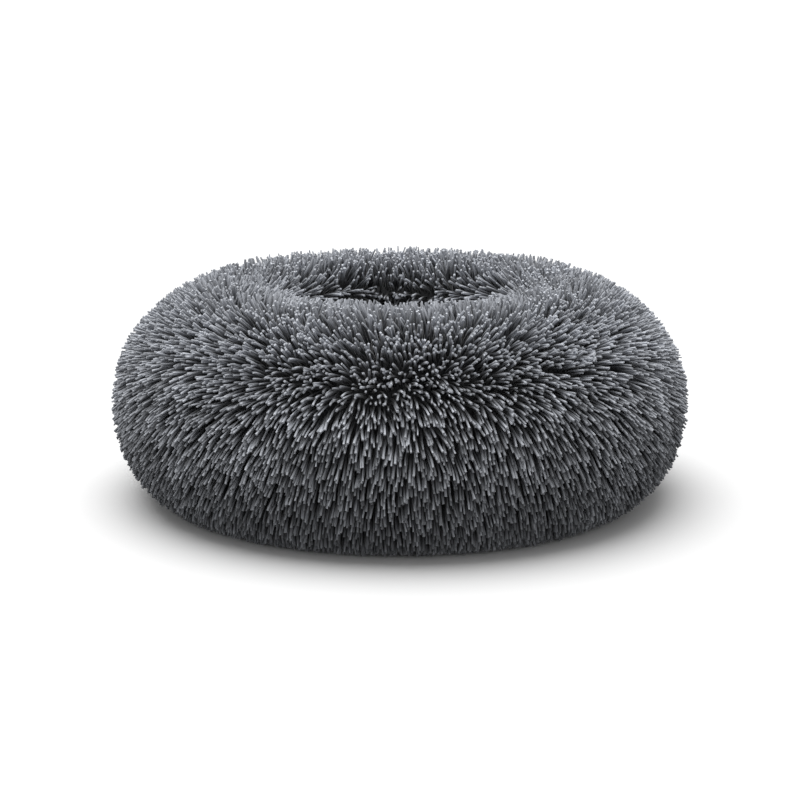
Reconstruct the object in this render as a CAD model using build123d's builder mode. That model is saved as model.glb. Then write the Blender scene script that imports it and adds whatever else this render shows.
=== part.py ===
from build123d import *
import math
import os

# Round pet bed: a fat stuffed bolster ring round a small sunk nest, in a long-pile plush
# cover with a cloth base that a straight zip opens.
# Millimetres, +Z up. The origin is on the floor, under the middle of the bed.
# The zip runs along X, closed at its +X end. The front of the bed is -Y.

# overall size, over the pile
outer_diameter = 500.0
height = 188.0

# bolster outline, over the pile
equator_height = 84.0  # where the ring is widest
crown_inset = 126.0  # from the widest place in to the highest line of the ring
foot_inset = 55.0  # from the widest place in to where the pile meets the floor
neck_inset = 48.0  # from the highest line in to the narrowest place of the hollow
neck_height = 125.0

# cloth, pile and stuffing
pile_depth = 24.0
nest_pile_depth = 22.0
nest_dome = 4.0  # how far the middle of the nest stands above its edge
pad_thickness = 33.0
liner_thickness = 0.8
soft_gap = 0.3  # between soft pieces that lie together

# cloth base
panel_thickness = 1.2
base_inset = 5.0  # from where the pile meets the floor in to the edge of the cloth
contact_band = 34.0  # width of the ring of cloth that rests on the floor
slope_width = 18.0
dish_rise = 6.0  # how far the middle of the base is lifted off the floor

# grip dots
dot_height = 1.0
dot_diameter = 6.0
dot_count = 48  # in each of two rings
dot_edge_margin = 9.0
dot_ring_pitch = 15.0

# zip chain
zip_end_margin = 14.0  # from the end of the coils out to the edge of the lifted middle
slot_clearance = 0.8  # from the slider's side out to a base panel's folded edge
slot_end_gap = 5.0  # from the end of the coils out to the end of the slot
tape_width = 14.0
tape_thickness = 0.6
tape_end_length = 9.0  # tape beyond the coils at each end
coil_width = 2.4
coil_height = 2.0
coil_gap = 1.4  # between the two rows, for the post of the slider
tape_setback = 0.2  # from the coil's inner side out to the edge of its tape
stop_length = 3.0
stop_wall = 0.5

# zip slider and pull
slider_length = 12.0
plate_thickness = 0.8
flange_thickness = 0.9
slider_clearance = 0.2
post_length = 3.0
post_clearance = 0.3
end_clearance = 1.0  # slider to stop, at both ends of its travel
pin_diameter = 1.4
pin_clearance = 0.05
knuckle_diameter = 3.0
knuckle_width = 2.6
knuckle_clearance = 0.15
lug_thickness = 1.0
lug_length = 3.0
pull_length = 22.0
pull_width = 6.0
pull_thickness = 1.2
pull_hole_diameter = 2.4

# care label
label_width = 24.0
label_length = 38.0
label_thickness = 0.5
label_offset = 48.0  # from the middle of the zip
label_setback = 1.0  # from the panel's folded edge

# places worked out from the sizes above
outer_radius = outer_diameter / 2
crown_radius = outer_radius - crown_inset
foot_radius = outer_radius - foot_inset
base_radius = foot_radius - base_inset
dish_radius = base_radius - contact_band - slope_width

floor_level = dot_height  # underside of the cloth that rests on the dots
panel_top = floor_level + panel_thickness
dish_level = floor_level + dish_rise
dish_top = dish_level + panel_thickness
tape_top = dish_top + tape_thickness
coil_bottom = dish_top - coil_height
upper_plate_bottom = tape_top + slider_clearance
upper_plate_top = upper_plate_bottom + plate_thickness
lower_plate_top = coil_bottom - slider_clearance
lower_plate_bottom = lower_plate_top - plate_thickness
pin_height = lower_plate_bottom - knuckle_clearance - knuckle_diameter / 2

core_dish_bottom = upper_plate_top + soft_gap  # the stuffing clears the slider
core_bottom = panel_top + soft_gap
pad_top = core_dish_bottom + pad_thickness
nest_bottom = pad_top + soft_gap
nest_edge_height = nest_bottom + nest_pile_depth

coil_half_length = dish_radius - zip_end_margin
coil_outer = coil_gap / 2 + coil_width
slot_half_length = coil_half_length + slot_end_gap
tape_half_length = coil_half_length + tape_end_length
tape_inner = coil_gap / 2 + tape_setback
flange_inner = coil_outer + slider_clearance
slider_width = 2 * (flange_inner + flange_thickness)
slot_width = slider_width + 2 * slot_clearance
slider_rest = coil_half_length - end_clearance - slider_length / 2


def wall_angle(z):
    """How far round the wall's ellipse height z is, in degrees below the neck."""
    return math.degrees(math.asin((neck_height - z) / neck_height))


def wall_radius(z, inset):
    """Radius of the hollow's wall at height z below the neck, inset from the pile's face."""
    return crown_radius - (neck_inset - inset) * math.cos(math.radians(wall_angle(z)))


def outer_side(inset, foot, foot_level):
    """Ellipses from the foot, over the widest place, to the crown."""
    side = outer_radius - inset
    top = height - inset
    EllipticalCenterArc(
        (foot, equator_height), side - foot, equator_height - foot_level, -90, arc_size=90
    )
    EllipticalCenterArc(
        (crown_radius, equator_height), side - crown_radius, top - equator_height, 0, arc_size=90
    )


def inner_side(inset, lowest):
    """Ellipses from the crown, past the neck of the hollow, down to a height."""
    top = height - inset
    half_width = neck_inset - inset
    EllipticalCenterArc(
        (crown_radius, neck_height), half_width, top - neck_height, 90, arc_size=90
    )
    EllipticalCenterArc(
        (crown_radius, neck_height), half_width, neck_height, 180, arc_size=wall_angle(lowest)
    )


def wall_stretch(low, high, inset):
    """The stretch of the hollow's wall between two heights below its neck."""
    EllipticalCenterArc(
        (crown_radius, neck_height),
        neck_inset - inset,
        neck_height,
        180 + wall_angle(high),
        arc_size=wall_angle(low) - wall_angle(high),
    )


# plush cover of the bolster: pile and backing in one thick skin, open along the base
cover_inset = pile_depth - soft_gap
with BuildPart() as bolster_plush:
    with BuildSketch(Plane.XZ) as bolster_section:
        with BuildLine() as bolster_outline:
            outer_side(0, foot_radius, floor_level)
            inner_side(0, nest_bottom)
            Line(
                (wall_radius(nest_bottom, 0), nest_bottom),
                (wall_radius(nest_bottom, cover_inset), nest_bottom),
            )
            inner_side(cover_inset, nest_bottom)
            outer_side(cover_inset, base_radius - pile_depth / 2, panel_top)
            Polyline(
                (base_radius - pile_depth / 2, panel_top),
                (base_radius, panel_top),
                (base_radius, floor_level),
                (foot_radius, floor_level),
            )
        make_face()
    revolve(axis=Axis.Z)

# plush panel that floors the nest
with BuildPart() as nest_plush:
    with BuildSketch(Plane.XZ) as nest_section:
        with BuildLine() as nest_outline:
            Line((0, nest_bottom), (wall_radius(nest_bottom, -soft_gap), nest_bottom))
            wall_stretch(nest_bottom, nest_edge_height, -soft_gap)
            edge_radius = wall_radius(nest_edge_height, -soft_gap)
            dome_top = nest_edge_height + nest_dome
            dome_radius = (edge_radius**2 + nest_dome**2) / (2 * nest_dome)
            dome_angle = math.degrees(math.asin(edge_radius / dome_radius))
            CenterArc((0, dome_top - dome_radius), dome_radius, 90 - dome_angle, dome_angle)
            Line((0, dome_top), (0, nest_bottom))
        make_face()
    revolve(axis=Axis.Z)


def ring_core(inset):
    """Outline of the stuffed ring's section, inset from the outside of its liner."""
    foot = base_radius - pile_depth / 2 - inset
    over_dish = core_dish_bottom + inset
    outer_side(pile_depth + inset, foot, core_bottom + inset)
    inner_side(pile_depth + inset, over_dish)
    Polyline(
        (wall_radius(over_dish, pile_depth + inset), over_dish),
        (dish_radius, over_dish),
        (dish_radius + slope_width, core_bottom + inset),
        (foot, core_bottom + inset),
    )


# liner of the stuffed ring: a closed bag
with BuildPart() as ring_liner:
    with BuildSketch(Plane.XZ):
        with BuildLine():
            ring_core(0)
        make_face()
    revolve(axis=Axis.Z)
    with BuildSketch(Plane.XZ):
        with BuildLine():
            ring_core(liner_thickness)
        make_face()
    revolve(axis=Axis.Z, mode=Mode.SUBTRACT)

# fibre stuffing of the ring
with BuildPart() as ring_filling:
    with BuildSketch(Plane.XZ):
        with BuildLine():
            ring_core(liner_thickness + soft_gap)
        make_face()
    revolve(axis=Axis.Z)


def pad_core(inset):
    """Outline of the stuffed pad's section, inset from the outside of its liner."""
    wall_inset = pile_depth - soft_gap - inset
    low = core_dish_bottom + inset
    high = pad_top - inset
    Line((0, low), (wall_radius(low, wall_inset), low))
    wall_stretch(low, high, wall_inset)
    Polyline((wall_radius(high, wall_inset), high), (0, high), (0, low))


# liner of the pad: a closed bag
with BuildPart() as pad_liner:
    with BuildSketch(Plane.XZ):
        with BuildLine():
            pad_core(0)
        make_face()
    revolve(axis=Axis.Z)
    with BuildSketch(Plane.XZ):
        with BuildLine():
            pad_core(liner_thickness)
        make_face()
    revolve(axis=Axis.Z, mode=Mode.SUBTRACT)

# fibre stuffing of the pad
with BuildPart() as pad_filling:
    with BuildSketch(Plane.XZ):
        with BuildLine():
            pad_core(liner_thickness + soft_gap)
        make_face()
    revolve(axis=Axis.Z)

# the base is two cloth panels, each with the folded edge of the zip opening
slot_length = 2 * slot_half_length


def base_section():
    """Outline of the dished cloth, from the middle out to its edge."""
    Polyline(
        (0, dish_level),
        (dish_radius, dish_level),
        (dish_radius + slope_width, floor_level),
        (base_radius, floor_level),
        (base_radius, panel_top),
        (dish_radius + slope_width, panel_top),
        (dish_radius, dish_top),
        (0, dish_top),
        close=True,
    )


with BuildPart() as base_panel_front:
    with BuildSketch(Plane.XZ):
        with BuildLine():
            base_section()
        make_face()
    revolve(axis=Axis.Z)
    split(bisect_by=Plane.XZ, keep=Keep.TOP)
    with BuildSketch(Plane.XY.offset(dish_level)):
        Rectangle(slot_length, slot_width)
    extrude(amount=panel_thickness, mode=Mode.SUBTRACT)

with BuildPart() as base_panel_rear:
    with BuildSketch(Plane.XZ):
        with BuildLine():
            base_section()
        make_face()
    revolve(axis=Axis.Z)
    split(bisect_by=Plane.XZ, keep=Keep.BOTTOM)
    with BuildSketch(Plane.XY.offset(dish_level)):
        Rectangle(slot_length, slot_width)
    extrude(amount=panel_thickness, mode=Mode.SUBTRACT)

# rubber dots under the part of the base that rests on the floor
with BuildPart() as grip_dots:
    with BuildSketch():
        outer_ring = base_radius - dot_edge_margin
        with PolarLocations(outer_ring, dot_count):
            Circle(dot_diameter / 2)
        with PolarLocations(outer_ring - dot_ring_pitch, dot_count, start_angle=180 / dot_count):
            Circle(dot_diameter / 2)
    extrude(amount=dot_height)

# woven tapes, sewn on top of the panels
with BuildPart() as zip_tape_front:
    with BuildSketch(Plane.XY.offset(dish_top)):
        with Locations((0, -tape_inner)):
            Rectangle(2 * tape_half_length, tape_width, align=(Align.CENTER, Align.MAX))
    extrude(amount=tape_thickness)

with BuildPart() as zip_tape_rear:
    add(zip_tape_front.part.mirror(Plane.XZ))

# rows of coil, sewn under the tapes
with BuildPart() as zip_coil_front:
    with BuildSketch(Plane.XY.offset(coil_bottom)):
        with Locations((0, -coil_gap / 2)):
            Rectangle(2 * coil_half_length, coil_width, align=(Align.CENTER, Align.MAX))
    extrude(amount=coil_height)

with BuildPart() as zip_coil_rear:
    add(zip_coil_front.part.mirror(Plane.XZ))

# metal stops: one crimped on each tape at the closed end, one across both at the other
stop_bottom = coil_bottom
stop_height = dish_top - stop_bottom
with BuildPart() as zip_top_stops:
    with BuildSketch(Plane.XY.offset(stop_bottom)):
        with Locations((coil_half_length, coil_gap / 2), (coil_half_length, -coil_outer)):
            Rectangle(stop_length, coil_width, align=(Align.MIN, Align.MIN))
    extrude(amount=stop_height)
    fillet(zip_top_stops.faces().sort_by(Axis.Z)[:2].edges(), stop_wall)

with BuildPart() as zip_bottom_stop:
    with BuildSketch(Plane.XY.offset(stop_bottom)):
        with Locations((-coil_half_length, 0)):
            Rectangle(stop_length, 2 * coil_outer, align=(Align.MAX, Align.CENTER))
    extrude(amount=stop_height)
    fillet(zip_bottom_stop.faces().sort_by(Axis.Z)[0].edges(), stop_wall)

# slider: two plates joined by a post, with flanges beside the coils and a pin for the pull
with BuildPart() as zip_slider:
    with BuildSketch(Plane.XY.offset(lower_plate_bottom)) as plate_outline:
        with Locations((slider_rest, 0)):
            Rectangle(slider_length, slider_width)
        fillet(plate_outline.vertices().group_by(Axis.X)[-1], slider_width / 4)
        fillet(plate_outline.vertices().group_by(Axis.X)[0], slider_width / 8)
    extrude(amount=plate_thickness)
    with BuildSketch(Plane.XY.offset(upper_plate_bottom)) as upper_outline:
        with Locations((slider_rest, 0)):
            Rectangle(slider_length, slider_width)
        fillet(upper_outline.vertices().group_by(Axis.X)[-1], slider_width / 4)
        fillet(upper_outline.vertices().group_by(Axis.X)[0], slider_width / 8)
    extrude(amount=plate_thickness)
    with BuildSketch(Plane.XY.offset(lower_plate_top)):
        with Locations((slider_rest + slider_length / 2 - slider_width / 4 - post_length, 0)):
            Rectangle(post_length, coil_gap - 2 * post_clearance)
    extrude(amount=upper_plate_bottom - lower_plate_top)
    flange_place = flange_inner + flange_thickness / 2
    with BuildSketch(Plane.XY.offset(lower_plate_top)):
        with Locations((slider_rest, flange_place), (slider_rest, -flange_place)):
            Rectangle(slider_length - slider_width / 2, flange_thickness)
    extrude(amount=dish_top - slider_clearance - lower_plate_top)
    lug_place = knuckle_width / 2 + post_clearance
    lug_planes = (Plane.XZ.offset(lug_place), Plane.XZ.offset(-lug_place - lug_thickness))
    for lug_plane in lug_planes:
        with BuildSketch(lug_plane):
            with Locations((slider_rest, pin_height)):
                Circle(lug_length / 2)
                Rectangle(
                    lug_length,
                    lower_plate_bottom - pin_height,
                    align=(Align.CENTER, Align.MIN),
                )
        extrude(amount=lug_thickness)
    with BuildSketch(Plane.XZ.offset(-lug_place)):
        with Locations((slider_rest, pin_height)):
            Circle(pin_diameter / 2)
    extrude(amount=2 * lug_place)

# pull: a knuckle on the slider's pin, and a flat tab with a hole in its end
with BuildPart() as zip_pull:
    tab_end = slider_rest - pull_length
    with BuildSketch(Plane.XY.offset(pin_height - pull_thickness / 2)) as tab_outline:
        with Locations((slider_rest, 0)):
            Rectangle(pull_length, knuckle_width, align=(Align.MAX, Align.CENTER))
        with Locations((slider_rest - knuckle_diameter, 0)):
            Rectangle(pull_length - knuckle_diameter, pull_width, align=(Align.MAX, Align.CENTER))
        fillet(tab_outline.vertices().group_by(Axis.X)[0], pull_width / 3)
        with Locations((tab_end + pull_width / 2, 0)):
            Circle(pull_hole_diameter / 2, mode=Mode.SUBTRACT)
    extrude(amount=pull_thickness)
    with BuildSketch(Plane.XZ.offset(-knuckle_width / 2)):
        with Locations((slider_rest, pin_height)):
            Circle(knuckle_diameter / 2)
    extrude(amount=knuckle_width)
    with BuildSketch(Plane.XZ.offset(-knuckle_width / 2)):
        with Locations((slider_rest, pin_height)):
            Circle(pin_diameter / 2 + pin_clearance)
    extrude(amount=knuckle_width, mode=Mode.SUBTRACT)

# blank care label, caught in the front panel's folded edge
with BuildPart() as care_label:
    with BuildSketch(Plane.XY.offset(dish_level - label_thickness)):
        with Locations((-label_offset, -slot_width / 2 - label_setback)):
            Rectangle(label_width, label_length, align=(Align.CENTER, Align.MAX))
    extrude(amount=label_thickness)

pieces = {
    "bolster_plush": bolster_plush,
    "nest_plush": nest_plush,
    "base_panel_front": base_panel_front,
    "base_panel_rear": base_panel_rear,
    "grip_dots": grip_dots,
    "zip_tape_front": zip_tape_front,
    "zip_tape_rear": zip_tape_rear,
    "zip_coil_front": zip_coil_front,
    "zip_coil_rear": zip_coil_rear,
    "zip_top_stops": zip_top_stops,
    "zip_bottom_stop": zip_bottom_stop,
    "zip_slider": zip_slider,
    "zip_pull": zip_pull,
    "care_label": care_label,
    "ring_liner": ring_liner,
    "ring_filling": ring_filling,
    "pad_liner": pad_liner,
    "pad_filling": pad_filling,
}
os.makedirs("parts", exist_ok=True)
for name, piece in pieces.items():
    piece.part.label = name
    export_step(piece.part, f"parts/{name}.step")
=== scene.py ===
import math

import bmesh
import bpy
import numpy as np
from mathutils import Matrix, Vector, noise


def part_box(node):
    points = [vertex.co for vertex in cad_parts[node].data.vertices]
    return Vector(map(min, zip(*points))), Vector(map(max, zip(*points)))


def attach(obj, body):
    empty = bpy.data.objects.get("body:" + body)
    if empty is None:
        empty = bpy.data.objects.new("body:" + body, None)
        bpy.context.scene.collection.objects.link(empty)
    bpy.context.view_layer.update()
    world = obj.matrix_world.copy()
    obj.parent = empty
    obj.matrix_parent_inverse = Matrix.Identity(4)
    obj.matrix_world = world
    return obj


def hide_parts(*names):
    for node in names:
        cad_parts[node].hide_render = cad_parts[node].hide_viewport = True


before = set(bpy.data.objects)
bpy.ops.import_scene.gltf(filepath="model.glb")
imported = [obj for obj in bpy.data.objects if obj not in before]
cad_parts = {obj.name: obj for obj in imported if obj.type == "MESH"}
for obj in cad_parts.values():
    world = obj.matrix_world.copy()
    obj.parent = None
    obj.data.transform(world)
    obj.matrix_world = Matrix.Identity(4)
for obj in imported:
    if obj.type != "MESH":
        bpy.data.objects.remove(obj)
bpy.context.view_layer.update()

# A round plush pet bed. Metres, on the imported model's frame: +Z up, floor at zero, the zip
# along X, the front at -Y. Every piece but the zip's slider and pull rides on the bed.
MM = 0.001
SEED = 11

# the stuffed ring's outline, as in the CAD model
RING_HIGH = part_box("bolster_plush")[1]
OUTER_RADIUS = RING_HIGH.x
TOP = RING_HIGH.z
EQUATOR = 84 * MM
CROWN_RADIUS = OUTER_RADIUS - 126 * MM
NECK_INSET = 48 * MM
NECK_HEIGHT = 125 * MM
PILE = 24 * MM
BASE_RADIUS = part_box("base_panel_front")[1].x
FOOT_RADIUS = BASE_RADIUS - PILE / 2
FOOT_STEP = 5 * MM  # from the edge of the base cloth out to where the pile meets the floor
NEST_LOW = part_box("nest_plush")[0]
LINER_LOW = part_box("ring_liner")[0]
PAD_LOW, PAD_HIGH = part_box("pad_liner")
DISH_RADIUS = 138 * MM  # the lifted middle of the base
SLOPE = 18 * MM

PILE_SPACING = 2.5 * MM

CAMERA_LENS = 87.5  # millimetres, as is the sensor
SENSOR_WIDTH = 36
CAMERA_DISTANCE = 1.70
CAMERA_RISE = math.radians(13.1)
CAMERA_AIM = 0.078


# ---- outlines -------------------------------------------------------------------------------
def ellipse(centre, reach, start, stop, count):
    """Points of an ellipse in the plane of radius and height, between two angles in degrees."""
    angles = np.radians(np.linspace(start, stop, count))
    return [
        (centre[0] + reach[0] * math.cos(a), centre[1] + reach[1] * math.sin(a)) for a in angles
    ]


def wall_radius(height, inset):
    """Radius of the hollow's wall at a height below its neck, inset from the pile's face."""
    sink = math.asin((NECK_HEIGHT - height) / NECK_HEIGHT)
    return CROWN_RADIUS - (NECK_INSET - inset) * math.cos(sink)


def ring_outline(inset, low, inner_low, count=26):
    """Section of the stuffed ring, inset from the pile's face: foot, side, crown, wall, underside."""
    side = OUTER_RADIUS - inset
    top = TOP - inset
    half = NECK_INSET - inset
    foot = FOOT_RADIUS
    points = ellipse((foot, EQUATOR), (side - foot, EQUATOR - low), -90, 0, count // 2)[:-1]
    over = (side - CROWN_RADIUS, top - EQUATOR)
    points += ellipse((CROWN_RADIUS, EQUATOR), over, 0, 90, count)[:-1]
    wall = (half, top - NECK_HEIGHT)
    points += ellipse((CROWN_RADIUS, NECK_HEIGHT), wall, 90, 180, count // 2)[:-1]
    drop = math.degrees(math.asin((NECK_HEIGHT - inner_low) / NECK_HEIGHT))
    points += ellipse((CROWN_RADIUS, NECK_HEIGHT), (half, NECK_HEIGHT), 180, 180 + drop, count // 2)
    rise = inner_low - low
    for share in (0.25, 0.5, 0.75, 1.0):
        points.append((points[-1][0] * (1 - share) + DISH_RADIUS * share, inner_low))
    for share in (0.35, 0.7, 1.0):
        points.append((DISH_RADIUS + SLOPE * share, inner_low - rise * share))
    return points


def turned(name, outline, around=160, closed=True):
    """A surface of revolution about Z through an outline of (radius, height) points."""
    mesh = bpy.data.meshes.new(name)
    angles = np.linspace(0, 2 * math.pi, around, endpoint=False)
    spots = np.array(outline)
    vertices = np.concatenate(
        [np.stack([spots[:, 0] * c, spots[:, 0] * s, spots[:, 1]], 1)
         for c, s in zip(np.cos(angles), np.sin(angles))]
    )
    rows = len(outline)
    faces = []
    for i in range(around):
        for j in range(rows if closed else rows - 1):
            a, b = i * rows + j, i * rows + (j + 1) % rows
            shift = (((i + 1) % around) - i) * rows
            faces.append((a, a + shift, b + shift, b))
    mesh.from_pydata(vertices.tolist(), [], faces)
    mesh.update()
    return new_object(name, mesh)


def new_object(name, mesh):
    made = bpy.data.objects.new(name, mesh)
    bpy.context.scene.collection.objects.link(made)
    return made


def coordinates(mesh):
    found = np.zeros(len(mesh.vertices) * 3)
    mesh.vertices.foreach_get("co", found)
    return found.reshape(-1, 3)


def settle_faces(obj):
    """Turns every face outwards and shades it smooth."""
    work = bmesh.new()
    work.from_mesh(obj.data)
    bmesh.ops.remove_doubles(work, verts=work.verts, dist=1e-6)
    bmesh.ops.recalc_face_normals(work, faces=work.faces)
    for face in work.faces:
        face.smooth = True
    work.to_mesh(obj.data)
    work.free()


def applied(obj):
    """The object's mesh with its modifiers worked in, as a plain mesh."""
    graph = bpy.context.evaluated_depsgraph_get()
    graph.update()
    mesh = bpy.data.meshes.new_from_object(obj.evaluated_get(graph), depsgraph=graph)
    obj.modifiers.clear()
    obj.data = mesh
    return obj


def stuffed(obj, voxel, pressure, cap, sewn, frames=20):
    """Swells a closed form as cloth does over stuffing, by cap at most and not where it is sewn."""
    remesh = obj.modifiers.new("even", "REMESH")
    remesh.mode = "VOXEL"
    remesh.voxel_size = voxel
    remesh.use_smooth_shade = True
    applied(obj)
    before = coordinates(obj.data)
    pins = obj.vertex_groups.new(name="sewn")
    held = [int(i) for i in np.nonzero(sewn(before))[0]]
    pins.add(held, 1.0, "REPLACE")
    cloth = obj.modifiers.new("cloth", "CLOTH")
    cloth.settings.quality = 4
    cloth.settings.mass = 0.3
    cloth.settings.tension_stiffness = 15
    cloth.settings.compression_stiffness = 15
    cloth.settings.shear_stiffness = 5
    cloth.settings.bending_stiffness = 0.5
    cloth.settings.use_pressure = True
    cloth.settings.uniform_pressure_force = pressure
    cloth.settings.effector_weights.gravity = 0
    cloth.settings.vertex_group_mass = pins.name
    cloth.point_cache.frame_start = 1
    cloth.point_cache.frame_end = frames
    scene = bpy.context.scene
    for step in range(1, frames + 1):
        scene.frame_set(step)
    applied(obj)
    obj.vertex_groups.clear()
    scene.frame_set(1)
    moved = coordinates(obj.data) - before
    length = np.linalg.norm(moved, axis=1, keepdims=True)
    moved *= np.minimum(1, cap / np.maximum(length, 1e-9))
    obj.data.vertices.foreach_set("co", (before + moved).ravel())
    smooth = obj.modifiers.new("finer", "SUBSURF")
    smooth.levels = smooth.render_levels = 1
    applied(obj)
    settle_faces(obj)
    return obj


# ---- node trees -----------------------------------------------------------------------------
class Tree:
    """A node tree, built by naming each node's kind, its settings and what feeds it."""

    def __init__(self, tree):
        self.tree = tree

    def add(self, kind, feeds=(), **settings):
        made = self.tree.nodes.new(kind)
        for key, value in settings.items():
            setattr(made, key, value)
        pairs = feeds.items() if isinstance(feeds, dict) else enumerate(feeds)
        for key, value in pairs:
            if value is not None:
                self.feed(made.inputs[key], value)
        return made

    def feed(self, socket, value):
        if isinstance(value, bpy.types.NodeSocket):
            self.tree.links.new(value, socket)
        else:
            socket.default_value = value

    def math(self, operation, *feeds):
        return self.add("ShaderNodeMath", feeds, operation=operation).outputs[0]

    def vector(self, operation, *feeds):
        made = self.add("ShaderNodeVectorMath", (), operation=operation)
        sockets = (made.inputs[0], made.inputs["Scale"]) if operation == "SCALE" else made.inputs
        for socket, value in zip(sockets, feeds):
            self.feed(socket, value)
        return made.outputs["Value" if operation in ("LENGTH", "DOT_PRODUCT") else "Vector"]


def geometry_tree(name, inputs):
    """A Geometry Nodes tree with named inputs: (tree, input sockets, output node)."""
    group = bpy.data.node_groups.new(name, "GeometryNodeTree")
    face = group.interface
    face.new_socket("Geometry", in_out="INPUT", socket_type="NodeSocketGeometry")
    for label, kind in inputs.items():
        face.new_socket(label, in_out="INPUT", socket_type=f"NodeSocket{kind}")
    face.new_socket("Geometry", in_out="OUTPUT", socket_type="NodeSocketGeometry")
    tree = Tree(group)
    entry = group.nodes.new("NodeGroupInput")
    leave = group.nodes.new("NodeGroupOutput")
    return tree, entry.outputs, leave


def grown(name, base, group, values):
    """A new plain mesh object: the tree run on a copy of the base, with its inputs set."""
    made = new_object(name, base.data.copy())
    modifier = made.modifiers.new("grow", "NODES")
    modifier.node_group = group
    for item in group.interface.items_tree:
        if item.in_out == "INPUT" and item.name in values:
            modifier[item.identifier] = values[item.name]
    return applied(made)


# ---- pile -----------------------------------------------------------------------------------
TONES = 16  # how many tones the locks come in, one strip of the UV map for each; a tone holds random tone together with painted shade and light
LOCK_SHAPES = 5
LOCK_RINGS = 5
SLENDER = 20.0  # length of the lock that is modelled, in half-widths
PAINTED_SHADE_BELOW = 100 * MM  # painted shade: the pile's tone is darker below this height, and painted light makes it brighter above it


def lock_shape(tree, number):
    """One blunt lock of pile along Z, SLENDER high and two wide, its tip bent towards +X."""
    line = tree.add("GeometryNodeCurvePrimitiveLine", {"End": (0, 0, 1)})
    even = tree.add("GeometryNodeResampleCurve", {"Curve": line.outputs[0], "Count": LOCK_RINGS})
    spaced = tree.add("GeometryNodeSplineParameter").outputs["Factor"]
    left = tree.math("SUBTRACT", 1.0, spaced)
    along = tree.math("SUBTRACT", 1.0, tree.math("POWER", left, 1.7))  # rings crowd the tip
    kept = tree.add("GeometryNodeCaptureAttribute", {"Geometry": even.outputs[0]}, domain="POINT")
    kept.capture_items.new("FLOAT", "along")
    tree.feed(kept.inputs[1], along)
    along = kept.outputs[1]
    bend = 1.2 + 0.9 * number  # sideways bend of the tip, in widths of the lock
    wave = 0.4 * math.sin(2.4 * number)
    square = tree.math("POWER", along, 2.4)
    side = tree.math("MULTIPLY", tree.math("SINE", tree.math("MULTIPLY", along, 6.0)), wave)
    lean = tree.add(
        "ShaderNodeCombineXYZ",
        {"X": tree.math("MULTIPLY", square, bend), "Y": side, "Z": tree.math("MULTIPLY", along, SLENDER)},
    )
    bent = tree.add(
        "GeometryNodeSetPosition", {"Geometry": kept.outputs[0], "Position": lean.outputs[0]}
    )
    blunt = tree.math("MULTIPLY", tree.math("POWER", along, 14.0), 0.6)
    root = tree.math("MULTIPLY", tree.math("POWER", tree.math("SUBTRACT", 1.0, along), 2.0), 0.4)
    taper = tree.math("SUBTRACT", tree.math("SUBTRACT", 1.0, blunt), root)
    thick = tree.add(
        "GeometryNodeSetCurveRadius", {"Curve": bent.outputs[0], "Radius": taper}
    )
    ring = tree.add("GeometryNodeCurvePrimitiveCircle", {"Resolution": 4, "Radius": 1.0})
    around = tree.add("GeometryNodeSplineParameter").outputs["Factor"]
    ring_kept = tree.add(
        "GeometryNodeCaptureAttribute", {"Geometry": ring.outputs[0]}, domain="POINT"
    )
    ring_kept.capture_items.new("FLOAT", "around")
    tree.feed(ring_kept.inputs[1], around)
    solid = tree.add(
        "GeometryNodeCurveToMesh",
        {"Curve": thick.outputs[0], "Profile Curve": ring_kept.outputs[0], "Fill Caps": True},
    )
    return solid.outputs[0], kept.outputs[1], ring_kept.outputs[1]


def lock_tip(tree, entry, normal, seed_step):
    """Where the tip of a lock goes: out along the cloth, combed, and drooping."""
    place = tree.add("GeometryNodeInputPosition").outputs[0]
    comb = None
    for scale, share in ((15.0, 1.0), (60.0, 0.7)):
        wander = tree.add(
            "ShaderNodeTexNoise", {"Vector": place, "Scale": scale, "Detail": 1.0}
        ).outputs["Color"]
        centred = tree.vector("SUBTRACT", wander, (0.5, 0.5, 0.5))
        strength = tree.math("MULTIPLY", entry["Comb"], share)
        pushed = tree.vector("SCALE", centred, strength)
        comb = pushed if comb is None else tree.vector("ADD", comb, pushed)
    loose = tree.add(
        "FunctionNodeRandomValue",
        {"Min": (-1, -1, -1), "Max": (1, 1, 1), "Seed": tree.math("ADD", entry["Seed"], seed_step)},
        data_type="FLOAT_VECTOR",
    ).outputs[0]
    upright = tree.math("MAXIMUM", tree.add("ShaderNodeSeparateXYZ", {0: normal}).outputs["Z"], 0.0)
    fall = tree.math("SUBTRACT", tree.math("MULTIPLY", upright, 0.55), 1.0)  # less falls on top
    down = tree.add(
        "ShaderNodeCombineXYZ", {"Z": tree.math("MULTIPLY", entry["Droop"], fall)}
    ).outputs[0]
    way = tree.vector("ADD", normal, down)
    way = tree.vector("ADD", way, comb)
    way = tree.vector("ADD", way, tree.vector("SCALE", loose, entry["Loose"]))
    way = tree.vector("NORMALIZE", way)
    stretch = tree.add(
        "FunctionNodeRandomValue",
        {2: 0.82, 3: 1.12, "Seed": tree.math("ADD", entry["Seed"], seed_step + 1)},
        data_type="FLOAT",
    ).outputs[1]
    length = tree.math("MULTIPLY", entry["Length"], stretch)
    return tree.vector("ADD", place, tree.vector("SCALE", way, length))


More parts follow.
